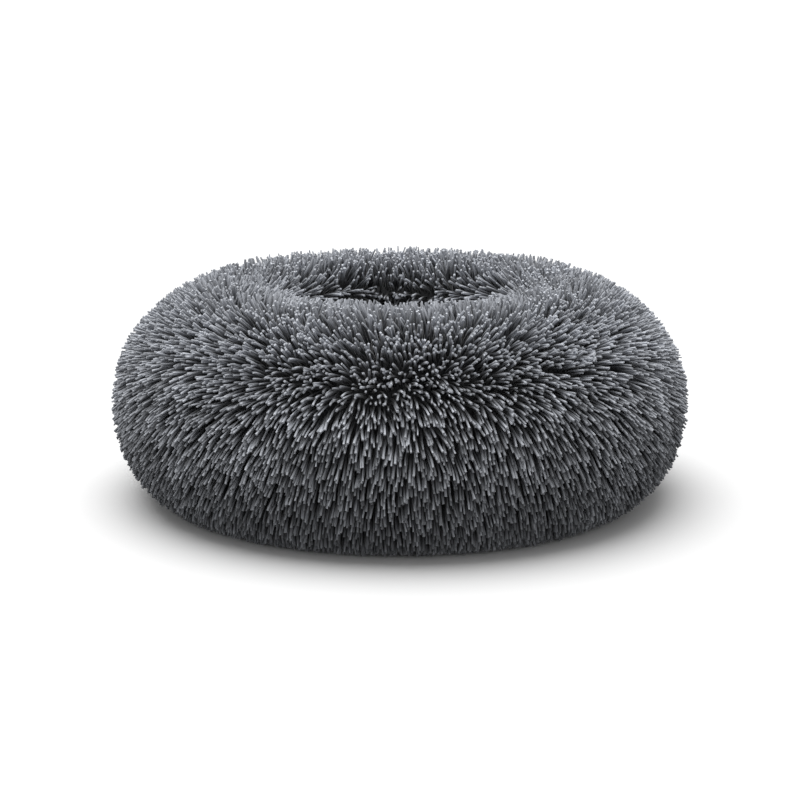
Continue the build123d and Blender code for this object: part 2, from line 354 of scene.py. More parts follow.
def held_in(tree, entry, tip):
    """The tip, brought inside the bed's outline, more or less from lock to lock."""
    stray = tree.add(
        "FunctionNodeRandomValue",
        {2: -3.5 * MM, 3: 1 * MM, "Seed": tree.math("ADD", entry["Seed"], 6)}, data_type="FLOAT",
    ).outputs[1]
    split = tree.add("ShaderNodeSeparateXYZ", {0: tip})
    low = tree.math("MAXIMUM", split.outputs["Z"], entry["Floor"])
    height = tree.math("MINIMUM", low, tree.math("ADD", stray, TOP + 1 * MM))
    flat = tree.vector("MULTIPLY", tip, (1, 1, 0))
    radius = tree.vector("LENGTH", flat)

    def bulge(rise, reach, centre):
        share = tree.math("DIVIDE", rise, reach)
        left = tree.math("SUBTRACT", 1.0, tree.math("MULTIPLY", share, share))
        root = tree.math("SQRT", tree.math("MAXIMUM", left, 0.0))
        return tree.math("ADD", tree.math("MULTIPLY", root, OUTER_RADIUS - centre), centre)

    rise = tree.math("SUBTRACT", height, EQUATOR)
    under = bulge(tree.math("MINIMUM", rise, 0.0), EQUATOR, FOOT_RADIUS + PILE / 2 + FOOT_STEP)
    over = bulge(tree.math("MAXIMUM", rise, 0.0), TOP + 6 * MM - EQUATOR, CROWN_RADIUS)
    limit = tree.math("ADD", tree.math("MINIMUM", under, over), stray)
    share = tree.math("MINIMUM", tree.math("DIVIDE", limit, radius), 1.0)
    inward = tree.vector("SCALE", flat, share)
    upward = tree.add("ShaderNodeCombineXYZ", {"Z": height}).outputs[0]
    return tree.vector("ADD", inward, upward)


def pile_tree():
    """Locks of pile all over a cloth form, for one sector of it."""
    tree, entry, leave = geometry_tree(
        "pile",
        {
            "Spacing": "Float", "Length": "Float", "Width": "Float", "Droop": "Float",
            "Comb": "Float", "Loose": "Float", "Clump": "Float", "Clump spacing": "Float",
            "Floor": "Float", "Sectors": "Int", "Sector": "Int", "Seed": "Int",
            "Material": "Material",
        },
    )
    bare = tree.add("GeometryNodeInputNamedAttribute", {"Name": "pile"}, data_type="FLOAT")

    def scattered(spacing):
        return tree.add(
            "GeometryNodeDistributePointsOnFaces",
            {
                "Mesh": entry["Geometry"], "Distance Min": spacing, "Density Max": 200000.0,
                "Density Factor": bare.outputs[0], "Seed": entry["Seed"],
            },
            distribute_method="POISSON",
        )

    guides = scattered(entry["Clump spacing"])
    guide_tip = tree.add(
        "GeometryNodeStoreNamedAttribute",
        {
            "Geometry": guides.outputs["Points"], "Name": "tip",
            "Value": lock_tip(tree, entry, guides.outputs["Normal"], 3),
        },
        data_type="FLOAT_VECTOR", domain="POINT",
    ).outputs[0]
    locks = scattered(entry["Spacing"])
    place = tree.add("GeometryNodeInputPosition").outputs[0]
    split = tree.add("ShaderNodeSeparateXYZ", {0: place})
    turn = tree.math("ARCTAN2", split.outputs["Y"], split.outputs["X"])
    part = tree.math("DIVIDE", tree.math("ADD", turn, math.pi), 2 * math.pi)
    part = tree.math("FLOOR", tree.math("MULTIPLY", part, entry["Sectors"]))
    away = tree.math("ABSOLUTE", tree.math("SUBTRACT", part, entry["Sector"]))
    away = tree.math("GREATER_THAN", away, 0.5)
    here = tree.add(
        "GeometryNodeDeleteGeometry",
        {"Geometry": locks.outputs["Points"], "Selection": away}, domain="POINT",
    )
    own = lock_tip(tree, entry, locks.outputs["Normal"], 5)
    nearest = tree.add(
        "GeometryNodeSampleNearest", {"Geometry": guide_tip, "Sample Position": place},
        domain="POINT",
    )
    tip_name = tree.add("GeometryNodeInputNamedAttribute", {"Name": "tip"}, data_type="FLOAT_VECTOR")
    led = tree.add(
        "GeometryNodeSampleIndex",
        {"Geometry": guide_tip, "Value": tip_name.outputs[0], "Index": nearest.outputs[0]},
        data_type="FLOAT_VECTOR", domain="POINT",
    ).outputs[0]
    pull = tree.vector("SCALE", tree.vector("SUBTRACT", led, own), entry["Clump"])
    tip = held_in(tree, entry, tree.vector("ADD", own, pull))
    reach = tree.vector("SUBTRACT", tip, place)
    length = tree.vector("LENGTH", reach)
    upright = tree.add(
        "FunctionNodeAlignRotationToVector", {"Vector": reach}, axis="Z", pivot_axis="AUTO"
    )
    jitter = tree.add(
        "FunctionNodeRandomValue",
        {"Min": (-0.3, -0.3, -1), "Max": (0.3, 0.3, -0.8), "Seed": tree.math("ADD", entry["Seed"], 7)},
        data_type="FLOAT_VECTOR",
    ).outputs[0]
    sag = tree.vector("SUBTRACT", jitter, tree.vector("SCALE", locks.outputs["Normal"], 0.6))
    aimed = tree.add(
        "FunctionNodeAlignRotationToVector", {"Rotation": upright.outputs[0], "Vector": sag},
        axis="X", pivot_axis="Z",
    )
    thickness = tree.add(
        "FunctionNodeRandomValue",
        {2: 0.65, 3: 1.15, "Seed": tree.math("ADD", entry["Seed"], 8)}, data_type="FLOAT",
    ).outputs[1]
    width = tree.math("MULTIPLY", entry["Width"], thickness)
    stretch = tree.math("DIVIDE", length, SLENDER)
    size = tree.add("ShaderNodeCombineXYZ", {"X": width, "Y": width, "Z": stretch})

    shapes = tree.add("GeometryNodeGeometryToInstance")
    for number in range(LOCK_SHAPES):
        solid, along, around = lock_shape(tree, number)
        stored = tree.add(
            "GeometryNodeStoreNamedAttribute",
            {"Geometry": solid, "Name": "along", "Value": along},
            data_type="FLOAT", domain="POINT",
        )
        stored = tree.add(
            "GeometryNodeStoreNamedAttribute",
            {"Geometry": stored.outputs[0], "Name": "around", "Value": around},
            data_type="FLOAT", domain="POINT",
        )
        tree.tree.links.new(stored.outputs[0], shapes.inputs[0])
    pick = tree.add(
        "FunctionNodeRandomValue",
        {4: 0, 5: LOCK_SHAPES - 1, "Seed": tree.math("ADD", entry["Seed"], 9)}, data_type="INT",
    )
    cloud = tree.add(
        "ShaderNodeTexNoise", {"Vector": place, "Scale": 28.0, "Detail": 2.0}
    ).outputs[0]
    chance = tree.add(
        "FunctionNodeRandomValue",
        {2: -0.32, 3: 0.32, "Seed": tree.math("ADD", entry["Seed"], 10)}, data_type="FLOAT",
    ).outputs[1]
    spread = tree.math("MULTIPLY", tree.math("SUBTRACT", cloud, 0.5), 0.9)
    # painted shade and light: the lock's tone goes darker lower down the bed and lighter towards its top
    shade = tree.math("DIVIDE", tree.math("SUBTRACT", PAINTED_SHADE_BELOW, split.outputs["Z"]), PAINTED_SHADE_BELOW)
    shade = tree.math("MULTIPLY", tree.math("MAXIMUM", shade, -0.45), 0.62)
    # painted light: locks inside the crown, down in the hollow, get a lighter tone
    out = tree.vector("LENGTH", tree.vector("MULTIPLY", place, (1, 1, 0)))
    into = tree.math("DIVIDE", tree.math("SUBTRACT", CROWN_RADIUS, out), 50 * MM)
    hollow = tree.math("MULTIPLY", tree.add("ShaderNodeClamp", {0: into}).outputs[0], 0.2)
    painted_light_tone = tree.math("ADD", tree.math("SUBTRACT", 0.48, shade), hollow)
    # the lock's tone: painted shade and light, plus tone that differs at random
    tone = tree.math("ADD", tree.math("ADD", painted_light_tone, spread), chance)
    clamped = tree.add("ShaderNodeClamp", {0: tone, 1: 0.0, 2: 0.999}).outputs[0]
    toned = tree.add(
        "GeometryNodeStoreNamedAttribute",
        {"Geometry": here.outputs[0], "Name": "tone", "Value": clamped},
        data_type="FLOAT", domain="POINT",
    )
    placed = tree.add(
        "GeometryNodeInstanceOnPoints",
        {
            "Points": toned.outputs[0], "Instance": shapes.outputs[0], "Pick Instance": True,
            "Instance Index": pick.outputs[2], "Rotation": aimed.outputs[0],
            "Scale": size.outputs[0],
        },
    )
    real = tree.add("GeometryNodeRealizeInstances", {0: placed.outputs[0]})
    here_now = tree.add("GeometryNodeInputPosition").outputs[0]
    above = tree.vector("MAXIMUM", here_now, (-10.0, -10.0, 0.0006))
    lifted = tree.add("GeometryNodeSetPosition", {"Geometry": real.outputs[0], "Position": above})

    def named(name):
        return tree.add(
            "GeometryNodeInputNamedAttribute", {"Name": name}, data_type="FLOAT"
        ).outputs[0]

    strip = tree.math("FLOOR", tree.math("MULTIPLY", named("tone"), float(TONES)))
    inside = tree.math("ADD", 0.1, tree.math("MULTIPLY", named("around"), 1.05))
    height = tree.math("DIVIDE", tree.math("ADD", strip, inside), float(TONES))
    spot = tree.add(
        "ShaderNodeCombineXYZ",
        {"X": tree.math("ADD", 0.02, tree.math("MULTIPLY", named("along"), 0.96)), "Y": height},
    )
    mapped = tree.add(
        "GeometryNodeStoreNamedAttribute",
        {"Geometry": lifted.outputs[0], "Name": "OFBake", "Value": spot.outputs[0]},
        data_type="FLOAT2", domain="CORNER",
    ).outputs[0]
    for spent in ("along", "around", "tone"):
        mapped = tree.add(
            "GeometryNodeRemoveAttribute", {"Geometry": mapped, "Name": spent}
        ).outputs[0]
    soft = tree.add("GeometryNodeSetShadeSmooth", {"Geometry": mapped})
    clad = tree.add(
        "GeometryNodeSetMaterial", {"Geometry": soft.outputs[0], "Material": entry["Material"]}
    )
    tree.feed(leave.inputs[0], clad.outputs[0])
    return tree.tree


# ---- work along a path ----------------------------------------------------------------------
def path(name, spots, along=(1, 0, 0), up=(0, 0, 1), closed=False):
    """A chain of edges that stores, at each point, which way a stitch lies and which way it faces."""
    mesh = bpy.data.meshes.new(name)
    count = len(spots)
    edges = [(i, (i + 1) % count) for i in range(count if closed else count - 1)]
    mesh.from_pydata([tuple(spot) for spot in spots], edges, [])
    for label, values in (("along", along), ("up", up)):
        held = mesh.attributes.new(label, "FLOAT_VECTOR", "POINT")
        wide = np.broadcast_to(np.array(values, float), (count, 3))
        held.data.foreach_set("vector", wide.ravel())
    return new_object(name, mesh)


def straight_path(name, start, stop, along=(1, 0, 0), up=(0, 0, -1)):
    spots = np.linspace(start, stop, 24)
    return path(name, spots, along, up)


def round_path(name, radius, height, up=None):
    """A circle about Z; stitches face away from the middle unless told otherwise."""
    turn = np.linspace(0, 2 * math.pi, 180, endpoint=False)
    ring = np.stack([np.cos(turn), np.sin(turn), 0 * turn], 1)
    along = np.stack([-np.sin(turn), np.cos(turn), 0 * turn], 1)
    spots = ring * radius + np.array([0, 0, height])
    return path(name, spots, along, ring if up is None else up, closed=True)


def stitch_tree():
    """Stitches evenly along a path, each a short bar of thread that dips into the cloth."""
    tree, entry, leave = geometry_tree(
        "stitches",
        {"Pitch": "Float", "Length": "Float", "Thread": "Float", "Arch": "Float",
         "Material": "Material"},
    )
    line = tree.add("GeometryNodeMeshToCurve", {"Mesh": entry["Geometry"]})
    spots = tree.add(
        "GeometryNodeCurveToPoints", {"Curve": line.outputs[0], "Length": entry["Pitch"]},
        mode="LENGTH",
    )

    def named(name):
        return tree.add(
            "GeometryNodeInputNamedAttribute", {"Name": name}, data_type="FLOAT_VECTOR"
        ).outputs[0]

    laid = tree.add(
        "FunctionNodeAlignRotationToVector", {"Vector": named("along")}, axis="X",
        pivot_axis="AUTO",
    )
    faced = tree.add(
        "FunctionNodeAlignRotationToVector", {"Rotation": laid.outputs[0], "Vector": named("up")},
        axis="Z", pivot_axis="X",
    )
    bar = tree.add("GeometryNodeCurvePrimitiveLine", {"End": (1, 0, 0)})
    bar = tree.add("GeometryNodeResampleCurve", {"Curve": bar.outputs[0], "Count": 5})
    share = tree.add("GeometryNodeSplineParameter").outputs["Factor"]
    middle = tree.math("SUBTRACT", share, 0.5)
    square = tree.math("MULTIPLY", tree.math("MULTIPLY", middle, middle), 4.0)
    hump = tree.math("MULTIPLY", tree.math("SUBTRACT", 0.55, square), entry["Arch"])
    place = tree.add(
        "ShaderNodeCombineXYZ", {"X": tree.math("MULTIPLY", middle, entry["Length"]), "Z": hump}
    )
    bar = tree.add("GeometryNodeSetPosition", {"Geometry": bar.outputs[0], "Position": place.outputs[0]})
    ring = tree.add("GeometryNodeCurvePrimitiveCircle", {"Resolution": 5, "Radius": entry["Thread"]})
    solid = tree.add(
        "GeometryNodeCurveToMesh",
        {"Curve": bar.outputs[0], "Profile Curve": ring.outputs[0], "Fill Caps": True},
    )
    placed = tree.add(
        "GeometryNodeInstanceOnPoints",
        {"Points": spots.outputs[0], "Instance": solid.outputs[0], "Rotation": faced.outputs[0]},
    )
    finish_tree(tree, entry, leave, placed.outputs[0])
    return tree.tree


def finish_tree(tree, entry, leave, shape):
    real = tree.add("GeometryNodeRealizeInstances", {0: shape})
    soft = tree.add("GeometryNodeSetShadeSmooth", {"Geometry": real.outputs[0]})
    clad = tree.add(
        "GeometryNodeSetMaterial", {"Geometry": soft.outputs[0], "Material": entry["Material"]}
    )
    tree.feed(leave.inputs[0], clad.outputs[0])


COIL_STEPS = 12  # straight bits in one turn of the zip's coil


def coil_tree():
    """A flattened coil of zip wire that runs along a straight path."""
    tree, entry, leave = geometry_tree(
        "coil",
        {"Turns": "Int", "Width": "Float", "Height": "Float", "Wire": "Float", "Phase": "Float",
         "Material": "Material"},
    )
    line = tree.add("GeometryNodeMeshToCurve", {"Mesh": entry["Geometry"]})
    count = tree.math("ADD", tree.math("MULTIPLY", entry["Turns"], float(COIL_STEPS)), 1.0)
    even = tree.add("GeometryNodeResampleCurve", {"Curve": line.outputs[0], "Count": count})
    step = tree.add("GeometryNodeInputIndex").outputs[0]
    turn = tree.math("ADD", tree.math("DIVIDE", step, float(COIL_STEPS)), entry["Phase"])
    angle = tree.math("MULTIPLY", turn, 2 * math.pi)

    def squared(wave, size):
        strong = tree.math("POWER", tree.math("ABSOLUTE", wave), 0.6)
        signed = tree.math("MULTIPLY", tree.math("SIGN", wave), strong)
        return tree.math("MULTIPLY", signed, tree.math("MULTIPLY", size, 0.5))

    offset = tree.add(
        "ShaderNodeCombineXYZ",
        {"Y": squared(tree.math("COSINE", angle), entry["Width"]),
         "Z": squared(tree.math("SINE", angle), entry["Height"])},
    )
    wound = tree.add(
        "GeometryNodeSetPosition", {"Geometry": even.outputs[0], "Offset": offset.outputs[0]}
    )
    ring = tree.add("GeometryNodeCurvePrimitiveCircle", {"Resolution": 6, "Radius": entry["Wire"]})
    solid = tree.add(
        "GeometryNodeCurveToMesh",
        {"Curve": wound.outputs[0], "Profile Curve": ring.outputs[0], "Fill Caps": True},
    )
    finish_tree(tree, entry, leave, solid.outputs[0])
    return tree.tree


def dot_tree():
    """Two rings of moulded dots about Z, each a blunt dome that hangs from the cloth."""
    tree, entry, leave = geometry_tree(
        "dots",
        {"Count": "Int", "Outer ring": "Float", "Ring pitch": "Float", "Radius": "Float",
         "Height": "Float", "Material": "Material"},
    )
    ball = tree.add("GeometryNodeMeshUVSphere", {"Segments": 16, "Rings": 8, "Radius": 1.0})
    split = tree.add("ShaderNodeSeparateXYZ", {0: tree.add("GeometryNodeInputPosition").outputs[0]})
    deep = tree.math("POWER", tree.math("ABSOLUTE", split.outputs["Z"]), 0.55)
    deep = tree.math("MULTIPLY", tree.math("SIGN", split.outputs["Z"]), deep)
    deep = tree.math("MULTIPLY", deep, entry["Height"])
    spot = tree.add(
        "ShaderNodeCombineXYZ",
        {"X": tree.math("MULTIPLY", split.outputs["X"], entry["Radius"]),
         "Y": tree.math("MULTIPLY", split.outputs["Y"], entry["Radius"]),
         "Z": tree.math("ADD", deep, entry["Height"])},
    )
    dome = tree.add("GeometryNodeSetPosition", {"Geometry": ball.outputs[0], "Position": spot.outputs[0]})
    rings = tree.add("GeometryNodeJoinGeometry")
    for number in (0, 1):
        inward = tree.math("MULTIPLY", entry["Ring pitch"], float(number))
        radius = tree.math("SUBTRACT", entry["Outer ring"], inward)
        circle = tree.add("GeometryNodeMeshCircle", {"Vertices": entry["Count"], "Radius": radius})
        step = tree.math("DIVIDE", math.pi * number, entry["Count"])
        turned_by = tree.add("ShaderNodeCombineXYZ", {"Z": step})
        moved = tree.add(
            "GeometryNodeTransform",
            {"Geometry": circle.outputs[0], "Rotation": turned_by.outputs[0]},
        )
        tree.tree.links.new(moved.outputs[0], rings.inputs[0])
    placed = tree.add(
        "GeometryNodeInstanceOnPoints", {"Points": rings.outputs[0], "Instance": dome.outputs[0]}
    )
    finish_tree(tree, entry, leave, placed.outputs[0])
    return tree.tree


def fibre_tree():
    """Curls of loose fibre that lie on a lump of stuffing."""
    tree, entry, leave = geometry_tree(
        "fibres", {"Spacing": "Float", "Curl": "Float", "Seed": "Int", "Material": "Material"}
    )
    spots = tree.add(
        "GeometryNodeDistributePointsOnFaces",
        {"Mesh": entry["Geometry"], "Distance Min": entry["Spacing"], "Density Max": 60000.0,
         "Seed": entry["Seed"]},
        distribute_method="POISSON",
    )
    arc = tree.add(
        "GeometryNodeCurveArc", {"Resolution": 7, "Radius": 1.0, "Sweep Angle": 3.6}, mode="RADIUS"
    )
    share = tree.add("GeometryNodeSplineParameter").outputs["Factor"]
    curl = tree.math("SINE", tree.math("MULTIPLY", share, 5.0))
    rise = tree.add("ShaderNodeCombineXYZ", {"Z": tree.math("MULTIPLY", curl, 0.12)})
    arc = tree.add("GeometryNodeSetPosition", {"Geometry": arc.outputs[0], "Offset": rise.outputs[0]})
    ring = tree.add("GeometryNodeCurvePrimitiveCircle", {"Resolution": 3, "Radius": 0.045})
    solid = tree.add(
        "GeometryNodeCurveToMesh",
        {"Curve": arc.outputs[0], "Profile Curve": ring.outputs[0], "Fill Caps": True},
    )
    spin = tree.add(
        "FunctionNodeRandomValue",
        {"Min": (-0.25, -0.25, -3.1), "Max": (0.25, 0.25, 3.1), "Seed": tree.math("ADD", entry["Seed"], 1)},
        data_type="FLOAT_VECTOR",
    ).outputs[0]
    own = tree.add(
        "FunctionNodeRotateRotation", {0: spots.outputs["Rotation"], 1: spin},
        rotation_space="LOCAL",
    )
    size = tree.add(
        "FunctionNodeRandomValue",
        {2: 0.6, 3: 1.3, "Seed": tree.math("ADD", entry["Seed"], 2)}, data_type="FLOAT",
    ).outputs[1]
    placed = tree.add(
        "GeometryNodeInstanceOnPoints",
        {"Points": spots.outputs["Points"], "Instance": solid.outputs[0], "Rotation": own.outputs[0],
         "Scale": tree.math("MULTIPLY", size, entry["Curl"])},
    )
    finish_tree(tree, entry, leave, placed.outputs[0])
    return tree.tree


# ---- materials ------------------------------------------------------------------------------
def material(name, **sockets):
    """A new material on the principled shader, with constants on its own sockets."""
    made = bpy.data.materials.new(name)
    made.use_nodes = True
    tree = Tree(made.node_tree)
    shader = made.node_tree.nodes["Principled BSDF"]
    for label, value in sockets.items():
        shader.inputs[label.replace("_", " ")].default_value = value
    return made, tree, shader


def ramp(tree, value, *stops):
    """A colour ramp through (place, grey or colour) stops."""
    made = tree.add("ShaderNodeValToRGB", {0: value})
    points = made.color_ramp.elements
    while len(points) < len(stops):
        points.new(0.5)
    for point, (place, colour) in zip(points, stops):
        point.position = place
        point.color = (*colour, 1.0) if hasattr(colour, "__len__") else (colour, colour, colour, 1.0)
    return made.outputs[0]


def place_of(tree, scale=(1, 1, 1)):
    """Object coordinates, times a scale."""
    place = tree.add("ShaderNodeTexCoord").outputs["Object"]
    return place if scale == (1, 1, 1) else tree.vector("MULTIPLY", place, scale)


def blotches(tree, place, scale, detail=2.0):
    return tree.add(
        "ShaderNodeTexNoise", {"Vector": place, "Scale": scale, "Detail": detail}
    ).outputs[0]


def wave(tree, value, pitch):
    """A smooth wave from 0 to 1 that repeats every pitch."""
    turn = tree.math("MULTIPLY", value, 2 * math.pi / pitch)
    return tree.math("ADD", tree.math("MULTIPLY", tree.math("SINE", turn), 0.5), 0.5)


def blend_colours(tree, share, one, other, kind="MIX"):
    made = tree.add("ShaderNodeMix", {0: share, 6: one, 7: other}, data_type="RGBA", blend_type=kind)
    return made.outputs[2]


def bumped(tree, shader, height, distance, strength=0.6):
    bump = tree.add(
        "ShaderNodeBump", {"Strength": strength, "Distance": distance, "Height": height}
    )
    tree.feed(shader.inputs["Normal"], bump.outputs[0])


def plush_material():
    """Locks: dark grey at the root, charcoal along the middle, frosted at the tip."""
    made, tree, shader = material("charcoal_plush", Roughness=0.6, Sheen_Weight=0.25,
                                  Sheen_Roughness=0.45, Specular_IOR_Level=0.25)
    where = tree.add("ShaderNodeUVMap", uv_map="OFBake").outputs[0]
    split = tree.add("ShaderNodeSeparateXYZ", {0: where})
    along, height = split.outputs["X"], split.outputs["Y"]
    strip = tree.math("MULTIPLY", height, float(TONES))
    tone = tree.math("DIVIDE", tree.math("FLOOR", strip), TONES - 1.0)
    base = ramp(tree, along, (0.0, (0.03, 0.0312, 0.0342)), (0.35, (0.058, 0.0603, 0.0663)),
                (0.6, (0.14, 0.146, 0.159)), (0.82, (0.3, 0.3125, 0.34)), (1.0, (0.4, 0.4165, 0.45)))
    hairs = tree.add(
        "ShaderNodeTexNoise", {"Vector": tree.vector("MULTIPLY", where, (3.0, 260.0, 1.0)), "Scale": 1.0}
    ).outputs[0]
    # the tone strip sets the lock's gain: random tone, plus painted shade low on the bed and painted light
    # on top and in the hollow
    gain = tree.math("ADD", 0.4, tree.math("MULTIPLY", tone, 1.1))
    gain = tree.math("MULTIPLY", gain, tree.math("ADD", 0.72, tree.math("MULTIPLY", hairs, 0.56)))
    grey = tree.add("ShaderNodeCombineColor", {0: gain, 1: gain, 2: gain})
    shade = blend_colours(tree, 1.0, base, grey.outputs[0], "MULTIPLY")
    tree.feed(shader.inputs["Base Color"], shade)
    return made


def backing_material():
    """The knitted back of the plush, as dark as the roots."""
    made, tree, shader = material("plush_backing", Roughness=0.9, Sheen_Weight=0.2)
    place = place_of(tree)
    knit = tree.add("ShaderNodeTexVoronoi", {"Vector": place, "Scale": 700.0}).outputs[0]
    wander = blotches(tree, place, 60.0)
    colour = ramp(tree, wander, (0.3, (0.018, 0.0187, 0.0205)), (0.7, (0.034, 0.0353, 0.0387)))
    tree.feed(shader.inputs["Base Color"], colour)
    bumped(tree, shader, knit, 0.3 * MM)
    return made


def shared(tree, first, first_share, second, second_share):
    """Two values added, each by its share."""
    return tree.math("ADD", tree.math("MULTIPLY", first, first_share),
                     tree.math("MULTIPLY", second, second_share))


def woven(tree, place, pitch):
    """Height of the threads of a plain weave in the plane of X and Y."""
    split = tree.add("ShaderNodeSeparateXYZ", {0: place})
    x, y = split.outputs["X"], split.outputs["Y"]
    warp, weft = wave(tree, x, pitch), wave(tree, y, pitch)
    over = wave(tree, tree.math("ADD", x, y), 2 * pitch)
    return tree.math("ADD", tree.math("MULTIPLY", warp, over),
                     tree.math("MULTIPLY", weft, tree.math("SUBTRACT", 1.0, over)))


def base_cloth_material():
    """Dark polyester in plain weave, puckered along its seams and dusty where it rubs the floor."""
    made, tree, shader = material("base_cloth", Sheen_Weight=0.15, Specular_IOR_Level=0.35)
    place = place_of(tree)
    height = woven(tree, place, 0.9 * MM)
    mottle = blotches(tree, place, 35.0, 4.0)
    fine = blotches(tree, place, 900.0)
    dark = ramp(tree, mottle, (0.3, (0.024, 0.025, 0.029)), (0.7, (0.042, 0.044, 0.05)))
    light = ramp(tree, mottle, (0.3, (0.04, 0.042, 0.048)), (0.7, (0.062, 0.065, 0.073)))
    threads = blend_colours(tree, tree.math("MULTIPLY", height, 0.8), dark, light)
    split = tree.add("ShaderNodeSeparateXYZ", {0: place})
    flat = tree.vector("LENGTH", tree.vector("MULTIPLY", place, (1, 1, 0)))
    band = tree.add("ShaderNodeMapRange", {"Value": flat, "From Min": DISH_RADIUS + SLOPE - 6 * MM,
                                           "From Max": DISH_RADIUS + SLOPE + 14 * MM}).outputs[0]
    settled = ramp(tree, blotches(tree, place, 90.0, 5.0), (0.42, 0.0), (0.72, 1.0))
    dust = tree.math("MULTIPLY", band, tree.math("MULTIPLY", settled, 0.4))
    colour = blend_colours(tree, dust, threads, (0.16, 0.15, 0.14, 1))
    tree.feed(shader.inputs["Base Color"], colour)
    tree.feed(shader.inputs["Roughness"], tree.math("ADD", 0.62, tree.math("MULTIPLY", fine, 0.25)))
    beside = tree.math("SUBTRACT", tree.math("ABSOLUTE", split.outputs["Y"]), 10 * MM)
    beside = tree.math("ABSOLUTE", beside)
    near = tree.add("ShaderNodeMapRange", {"Value": beside, "From Min": 0.0, "From Max": 12 * MM,
                                           "To Min": 1.0, "To Max": 0.0}).outputs[0]
    pucker = blotches(tree, tree.vector("MULTIPLY", place, (330.0, 60.0, 1.0)), 1.0)
    relief = shared(tree, height, 0.25, tree.math("MULTIPLY", pucker, near), 1.6)
    bumped(tree, shader, relief, 0.5 * MM)
    return made


def rubber_material():
    made, tree, shader = material("grip_rubber", Specular_IOR_Level=0.4)
    place = place_of(tree)
    grain = blotches(tree, place, 1800.0, 3.0)
    rub = blotches(tree, place, 260.0, 3.0)
    colour = ramp(tree, rub, (0.35, (0.016, 0.016, 0.017)), (0.75, (0.045, 0.044, 0.043)))
    tree.feed(shader.inputs["Base Color"], colour)
    tree.feed(shader.inputs["Roughness"], ramp(tree, rub, (0.3, 0.45), (0.7, 0.75)))
    bumped(tree, shader, grain, 0.08 * MM)
    return made


def tape_material():
    """Black woven tape with a herringbone."""
    made, tree, shader = material("zip_tape", Roughness=0.78, Sheen_Weight=0.15)
    place = place_of(tree)
    split = tree.add("ShaderNodeSeparateXYZ", {0: place})
    x, y = split.outputs["X"], split.outputs["Y"]
    fold = tree.math("PINGPONG", y, 1.6 * MM)
    rib = wave(tree, tree.math("ADD", x, fold), 0.8 * MM)
    thread = wave(tree, y, 0.4 * MM)
    mottle = blotches(tree, place, 120.0)
    worn = tree.math("ADD", 0.6, tree.math("MULTIPLY", mottle, 0.6))
    colour = ramp(tree, tree.math("MULTIPLY", rib, worn),
                  (0.1, (0.011, 0.0115, 0.013)), (0.9, (0.042, 0.043, 0.048)))
    tree.feed(shader.inputs["Base Color"], colour)
    bumped(tree, shader, tree.math("ADD", rib, tree.math("MULTIPLY", thread, 0.4)), 0.15 * MM)
    return made


def nylon_material():
    made, tree, shader = material("zip_coil", Specular_IOR_Level=0.5, Coat_Weight=0.15)
    place = place_of(tree)
    drawn = blotches(tree, tree.vector("MULTIPLY", place, (1.0, 3.0, 3.0)), 500.0)
    colour = ramp(tree, drawn, (0.3, (0.018, 0.019, 0.021)), (0.75, (0.05, 0.052, 0.057)))
    tree.feed(shader.inputs["Base Color"], colour)
    tree.feed(shader.inputs["Roughness"], ramp(tree, drawn, (0.3, 0.3), (0.7, 0.5)))
    return made


def metal_material():
    """Dull nickel plating: brushed along X, cloudy, with fine scratches."""
    made, tree, shader = material("zip_metal", Metallic=1.0)
    place = place_of(tree)
    brush = blotches(tree, tree.vector("MULTIPLY", place, (0.12, 1.0, 1.0)), 2600.0, 3.0)
    cloud = blotches(tree, place, 240.0, 3.0)
    colour = ramp(tree, shared(tree, cloud, 0.7, brush, 0.3),
                  (0.3, (0.33, 0.325, 0.32)), (0.7, (0.52, 0.515, 0.505)))
    tree.feed(shader.inputs["Base Color"], colour)
    drawn = tree.vector("MULTIPLY", place, (0.25, 1.0, 1.0))
    scratch = tree.add("ShaderNodeTexVoronoi", {"Vector": drawn, "Scale": 900.0},
                       feature="DISTANCE_TO_EDGE").outputs[0]
    scored = tree.math("MULTIPLY", ramp(tree, scratch, (0.0, 1.0), (0.04, 0.0)), 0.15)
    rough = tree.math("ADD", 0.26, tree.math("MULTIPLY", brush, 0.2))
    tree.feed(shader.inputs["Roughness"], tree.math("ADD", rough, scored))
    bumped(tree, shader, brush, 0.02 * MM, 0.5)
    return made


def satin_material():
    """White satin with its floats along X and a faint yellowing."""
    made, tree, shader = material("label_satin", Roughness=0.34, Sheen_Weight=0.3,
                                  Specular_IOR_Level=0.6)
    place = place_of(tree)
    split = tree.add("ShaderNodeSeparateXYZ", {0: place})
    floats = wave(tree, split.outputs["Y"], 0.35 * MM)
    slub = blotches(tree, tree.vector("MULTIPLY", place, (60.0, 900.0, 60.0)), 1.0)
    aged = blotches(tree, place, 40.0, 3.0)
    colour = ramp(tree, shared(tree, aged, 0.6, slub, 0.4),
                  (0.3, (0.66, 0.645, 0.6)), (0.7, (0.8, 0.795, 0.77)))
    tree.feed(shader.inputs["Base Color"], colour)
    bumped(tree, shader, tree.math("ADD", floats, slub), 0.06 * MM)
    return made


